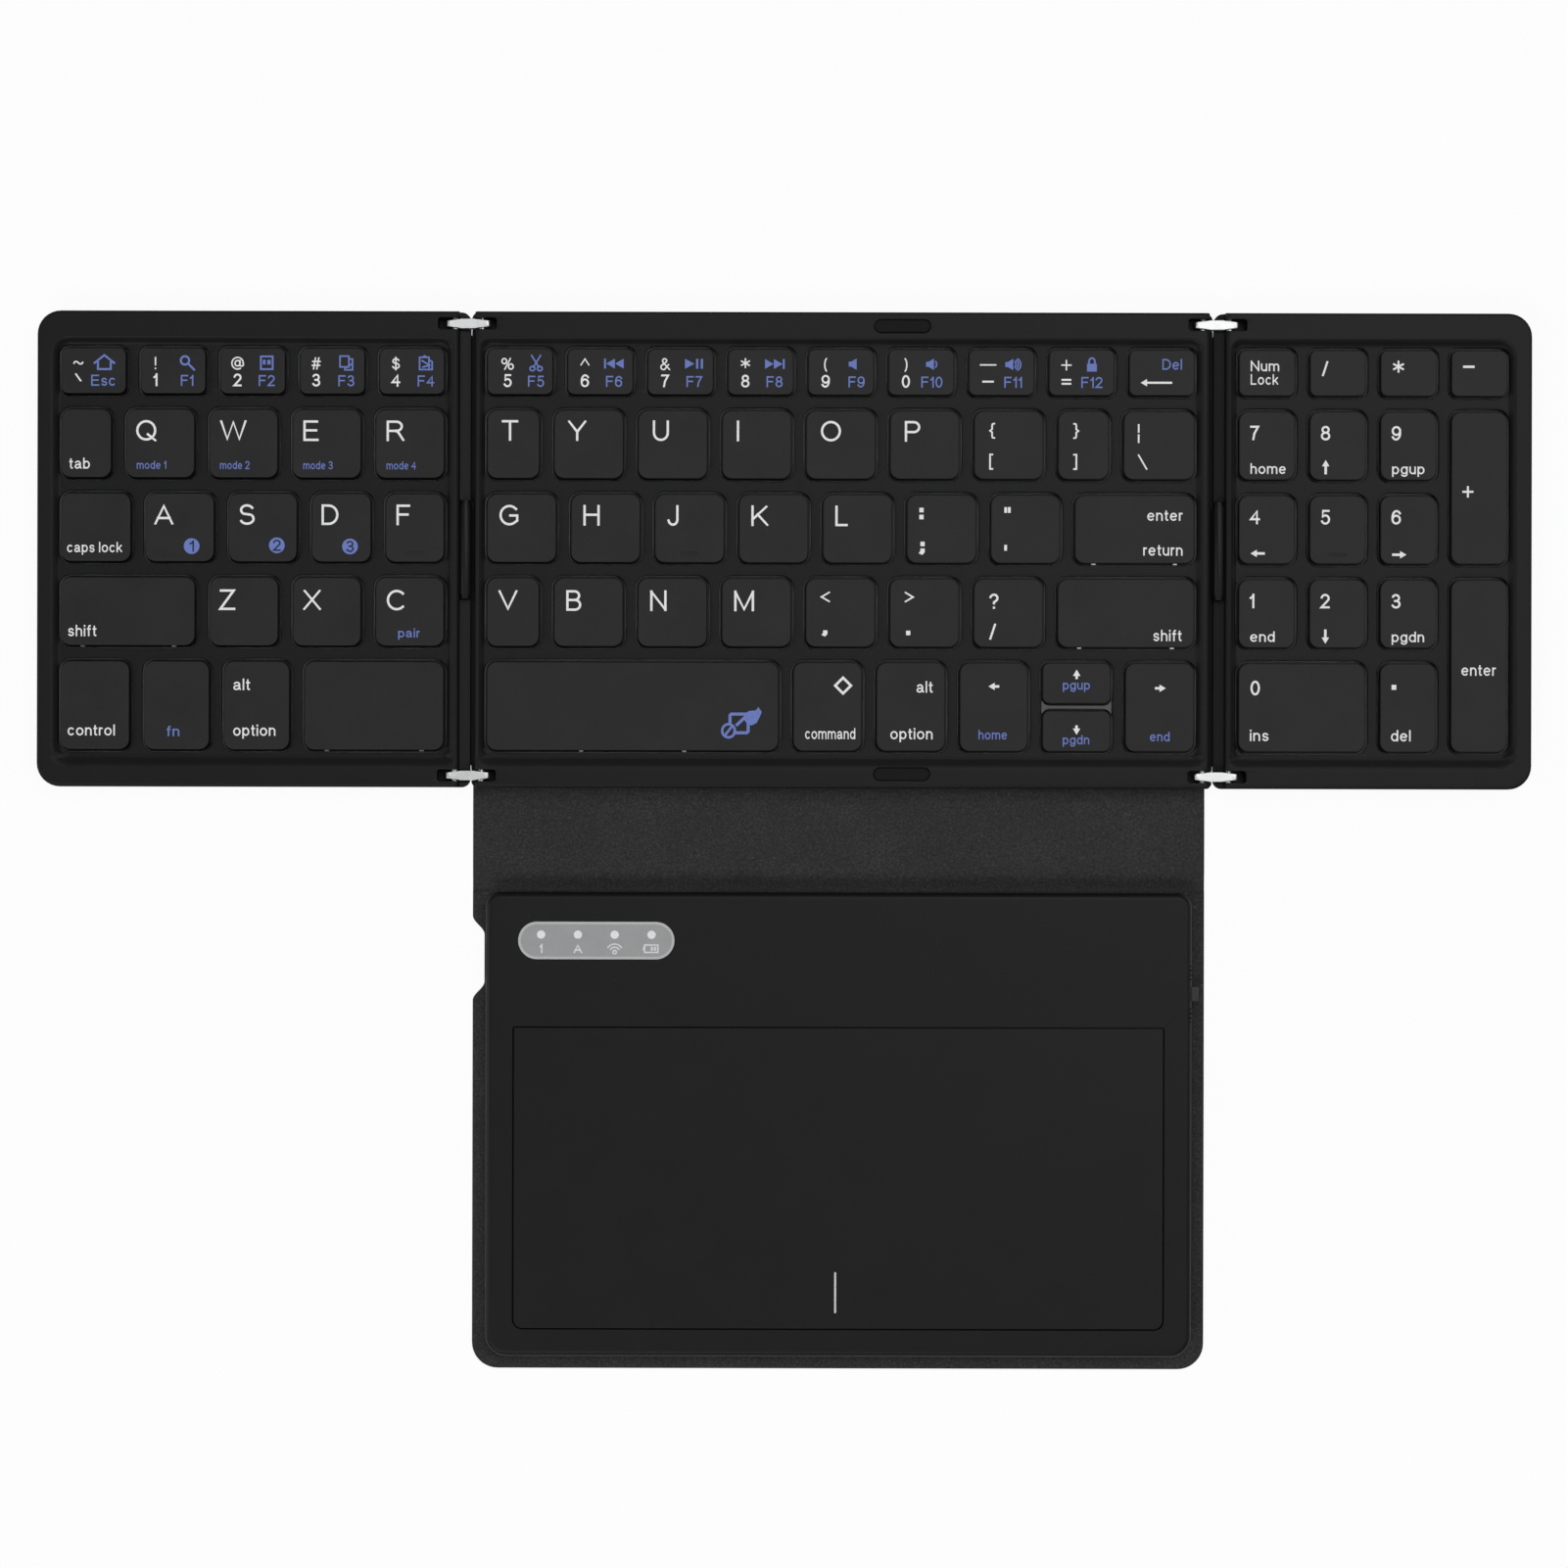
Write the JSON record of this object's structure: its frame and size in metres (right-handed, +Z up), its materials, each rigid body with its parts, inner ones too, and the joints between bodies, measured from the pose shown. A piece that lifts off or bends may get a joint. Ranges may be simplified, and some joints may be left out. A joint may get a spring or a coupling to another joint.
{
  "type": "folding keyboard",
  "caption": "Pocket keyboard that folds in three, with a number pad and a leather cover that carries a touchpad case",
  "frame": {"origin": "centre of the middle panel's leather underside, on the table the keyboard lies on", "axes": "+X along the keyboard towards the number pad, +Y towards the number keys at the back, +Z up from the table"},
  "size_m": [0.3045, 0.2159, 0.0072],
  "materials": {
    "battery_foil": "foil pouch",
    "board": "solder-masked fibreglass",
    "case_plastic": "fine matt texture, black",
    "dome_rubber": "translucent silicone",
    "key_plastic": "matt painted tops over glossy black skirts, white and blue printed characters",
    "knob_plastic": "satin grey",
    "leather": "fine-grained black synthetic leather",
    "light_guide": "clear white",
    "link_metal": "satin",
    "pad_rubber": "soft matt",
    "panel_plastic": "fine matt texture, black",
    "pin_steel": "ground",
    "scissor_plastic": "natural acetal",
    "screw_steel": "zinc plated",
    "sleeve_plastic": "satin black",
    "socket_metal": "plated",
    "touch_glass": "etched, low sheen, with a fine white line",
    "window_plastic": "translucent grey film"
  },
  "bodies": {
    "middle_panel": {"middle_top_shell": "panel_plastic", "middle_bottom_shell": "panel_plastic", "middle_switch_board": "board", "middle_dome_sheet": "dome_rubber", "middle_scissor_frames": "scissor_plastic", "middle_screws": "screw_steel", "fold_rest_pads": "pad_rubber", "leather_back": "leather"},
    "left_links": {"left_hinge_links": "link_metal", "left_hinge_pins": "pin_steel"},
    "left_panel": {"left_top_shell": "panel_plastic", "left_bottom_shell": "panel_plastic", "left_switch_board": "board", "left_dome_sheet": "dome_rubber", "left_scissor_frames": "scissor_plastic", "left_cable_sleeve": "sleeve_plastic", "left_feet": "pad_rubber", "left_screws": "screw_steel"},
    "right_links": {"right_hinge_links": "link_metal", "right_hinge_pins": "pin_steel"},
    "right_panel": {"right_top_shell": "panel_plastic", "right_bottom_shell": "panel_plastic", "right_switch_board": "board", "right_dome_sheet": "dome_rubber", "right_scissor_frames": "scissor_plastic", "right_cable_sleeve": "sleeve_plastic", "right_feet": "pad_rubber", "right_screws": "screw_steel"},
    "spine": {"leather_spine": "leather"},
    "touchpad_case": {"leather_cover": "leather", "pad_case_top": "case_plastic", "pad_case_bottom": "case_plastic", "main_board": "board", "battery": "battery_foil", "charging_socket": "socket_metal", "indicator_window": "window_plastic", "indicator_lights": "light_guide"},
    "touch_plate": {"touch_surface": "touch_glass", "touch_board": "board"},
    "power_switch": {"switch_knob": "knob_plastic"},
    "left_number_keys": {"left_number_keys": "key_plastic"},
    "left_upper_keys": {"left_upper_keys": "key_plastic"},
    "left_home_keys": {"left_home_keys": "key_plastic"},
    "left_lower_keys": {"left_lower_keys": "key_plastic"},
    "left_modifier_keys": {"left_modifier_keys": "key_plastic"},
    "left_space_key": {"left_space_key": "key_plastic"},
    "middle_number_keys": {"middle_number_keys": "key_plastic"},
    "middle_upper_keys": {"middle_upper_keys": "key_plastic"},
    "middle_home_keys": {"middle_home_keys": "key_plastic"},
    "enter_key": {"enter_key": "key_plastic"},
    "middle_lower_keys": {"middle_lower_keys": "key_plastic"},
    "right_shift_key": {"right_shift_key": "key_plastic"},
    "middle_space_key": {"middle_space_key": "key_plastic"},
    "middle_arrow_keys": {"middle_arrow_keys": "key_plastic"},
    "numpad_lock_keys": {"numpad_lock_keys": "key_plastic"},
    "numpad_upper_keys": {"numpad_upper_keys": "key_plastic"},
    "numpad_home_keys": {"numpad_home_keys": "key_plastic"},
    "numpad_lower_keys": {"numpad_lower_keys": "key_plastic"},
    "numpad_zero_keys": {"numpad_zero_keys": "key_plastic"},
    "numpad_tall_keys": {"numpad_tall_keys": "key_plastic"}
  },
  "joints": [
    {"name": "left_link_fold", "type": "hinge", "parent": "middle_panel", "child": "left_links", "pos_m": [-0.07355, 0, 0.0044], "axis": [0, 1, 0], "range_deg": [0, 90]},
    {"name": "left_panel_fold", "type": "hinge", "parent": "left_links", "child": "left_panel", "pos_m": [-0.07899, 0, 0.0044], "axis": [0, 1, 0], "range_deg": [0, 90]},
    {"name": "right_link_fold", "type": "hinge", "parent": "middle_panel", "child": "right_links", "pos_m": [0.07355, 0, 0.0044], "axis": [0, -1, 0], "range_deg": [0, 90]},
    {"name": "right_panel_fold", "type": "hinge", "parent": "right_links", "child": "right_panel", "pos_m": [0.07899, 0, 0.0044], "axis": [0, -1, 0], "range_deg": [0, 90]},
    {"name": "front_crease_fold", "type": "hinge", "parent": "middle_panel", "child": "spine", "pos_m": [0, -0.0493, 0.00045], "axis": [-1, 0, 0], "range_deg": [0, 90]},
    {"name": "case_crease_fold", "type": "hinge", "parent": "spine", "child": "touchpad_case", "pos_m": [0, -0.06904, 0.00045], "axis": [-1, 0, 0], "range_deg": [0, 90]},
    {"name": "touch_press", "type": "hinge", "parent": "touchpad_case", "child": "touch_plate", "pos_m": [0, -0.09634, 0.00515], "axis": [1, 0, 0], "range_deg": [0, 0.27], "stiffness_Nm_per_rad": 14, "springref_deg": -0.14},
    {"name": "power_switch_slide", "type": "slide", "parent": "touchpad_case", "child": "power_switch", "axis": [0, 1, 0], "range_m": [-0.0012, 0.0012]},
    {"name": "left_number_keys_press", "type": "slide", "parent": "left_panel", "child": "left_number_keys", "axis": [0, 0, -1], "range_m": [0, 0.0012], "stiffness_N_per_m": 500, "springref_m": -0.0004},
    {"name": "left_upper_keys_press", "type": "slide", "parent": "left_panel", "child": "left_upper_keys", "axis": [0, 0, -1], "range_m": [0, 0.0012], "stiffness_N_per_m": 500, "springref_m": -0.0004},
    {"name": "left_home_keys_press", "type": "slide", "parent": "left_panel", "child": "left_home_keys", "axis": [0, 0, -1], "range_m": [0, 0.0012], "stiffness_N_per_m": 500, "springref_m": -0.0004, "deforming": ["left_dome_sheet", "left_scissor_frames"]},
    {"name": "left_lower_keys_press", "type": "slide", "parent": "left_panel", "child": "left_lower_keys", "axis": [0, 0, -1], "range_m": [0, 0.0012], "stiffness_N_per_m": 500, "springref_m": -0.0004},
    {"name": "left_modifier_keys_press", "type": "slide", "parent": "left_panel", "child": "left_modifier_keys", "axis": [0, 0, -1], "range_m": [0, 0.0012], "stiffness_N_per_m": 500, "springref_m": -0.0004},
    {"name": "left_space_key_press", "type": "slide", "parent": "left_panel", "child": "left_space_key", "axis": [0, 0, -1], "range_m": [0, 0.0012], "stiffness_N_per_m": 500, "springref_m": -0.0004},
    {"name": "middle_number_keys_press", "type": "slide", "parent": "middle_panel", "child": "middle_number_keys", "axis": [0, 0, -1], "range_m": [0, 0.0012], "stiffness_N_per_m": 500, "springref_m": -0.0004},
    {"name": "middle_upper_keys_press", "type": "slide", "parent": "middle_panel", "child": "middle_upper_keys", "axis": [0, 0, -1], "range_m": [0, 0.0012], "stiffness_N_per_m": 500, "springref_m": -0.0004},
    {"name": "middle_home_keys_press", "type": "slide", "parent": "middle_panel", "child": "middle_home_keys", "axis": [0, 0, -1], "range_m": [0, 0.0012], "stiffness_N_per_m": 500, "springref_m": -0.0004, "deforming": ["middle_dome_sheet", "middle_scissor_frames"]},
    {"name": "enter_key_press", "type": "slide", "parent": "middle_panel", "child": "enter_key", "axis": [0, 0, -1], "range_m": [0, 0.0012], "stiffness_N_per_m": 500, "springref_m": -0.0004},
    {"name": "middle_lower_keys_press", "type": "slide", "parent": "middle_panel", "child": "middle_lower_keys", "axis": [0, 0, -1], "range_m": [0, 0.0012], "stiffness_N_per_m": 500, "springref_m": -0.0004},
    {"name": "right_shift_key_press", "type": "slide", "parent": "middle_panel", "child": "right_shift_key", "axis": [0, 0, -1], "range_m": [0, 0.0012], "stiffness_N_per_m": 500, "springref_m": -0.0004},
    {"name": "middle_space_key_press", "type": "slide", "parent": "middle_panel", "child": "middle_space_key", "axis": [0, 0, -1], "range_m": [0, 0.0012], "stiffness_N_per_m": 500, "springref_m": -0.0004},
    {"name": "middle_arrow_keys_press", "type": "slide", "parent": "middle_panel", "child": "middle_arrow_keys", "axis": [0, 0, -1], "range_m": [0, 0.0012], "stiffness_N_per_m": 500, "springref_m": -0.0004},
    {"name": "numpad_lock_keys_press", "type": "slide", "parent": "right_panel", "child": "numpad_lock_keys", "axis": [0, 0, -1], "range_m": [0, 0.0012], "stiffness_N_per_m": 500, "springref_m": -0.0004},
    {"name": "numpad_upper_keys_press", "type": "slide", "parent": "right_panel", "child": "numpad_upper_keys", "axis": [0, 0, -1], "range_m": [0, 0.0012], "stiffness_N_per_m": 500, "springref_m": -0.0004},
    {"name": "numpad_home_keys_press", "type": "slide", "parent": "right_panel", "child": "numpad_home_keys", "axis": [0, 0, -1], "range_m": [0, 0.0012], "stiffness_N_per_m": 500, "springref_m": -0.0004, "deforming": ["right_dome_sheet", "right_scissor_frames"]},
    {"name": "numpad_lower_keys_press", "type": "slide", "parent": "right_panel", "child": "numpad_lower_keys", "axis": [0, 0, -1], "range_m": [0, 0.0012], "stiffness_N_per_m": 500, "springref_m": -0.0004},
    {"name": "numpad_zero_keys_press", "type": "slide", "parent": "right_panel", "child": "numpad_zero_keys", "axis": [0, 0, -1], "range_m": [0, 0.0012], "stiffness_N_per_m": 500, "springref_m": -0.0004},
    {"name": "numpad_tall_keys_press", "type": "slide", "parent": "right_panel", "child": "numpad_tall_keys", "axis": [0, 0, -1], "range_m": [0, 0.0012], "stiffness_N_per_m": 500, "springref_m": -0.0004}
  ],
  "couplings": [
    {"joint": "left_link_fold", "follows": "left_panel_fold", "ratio": 1},
    {"joint": "right_link_fold", "follows": "right_panel_fold", "ratio": 1}
  ]
}
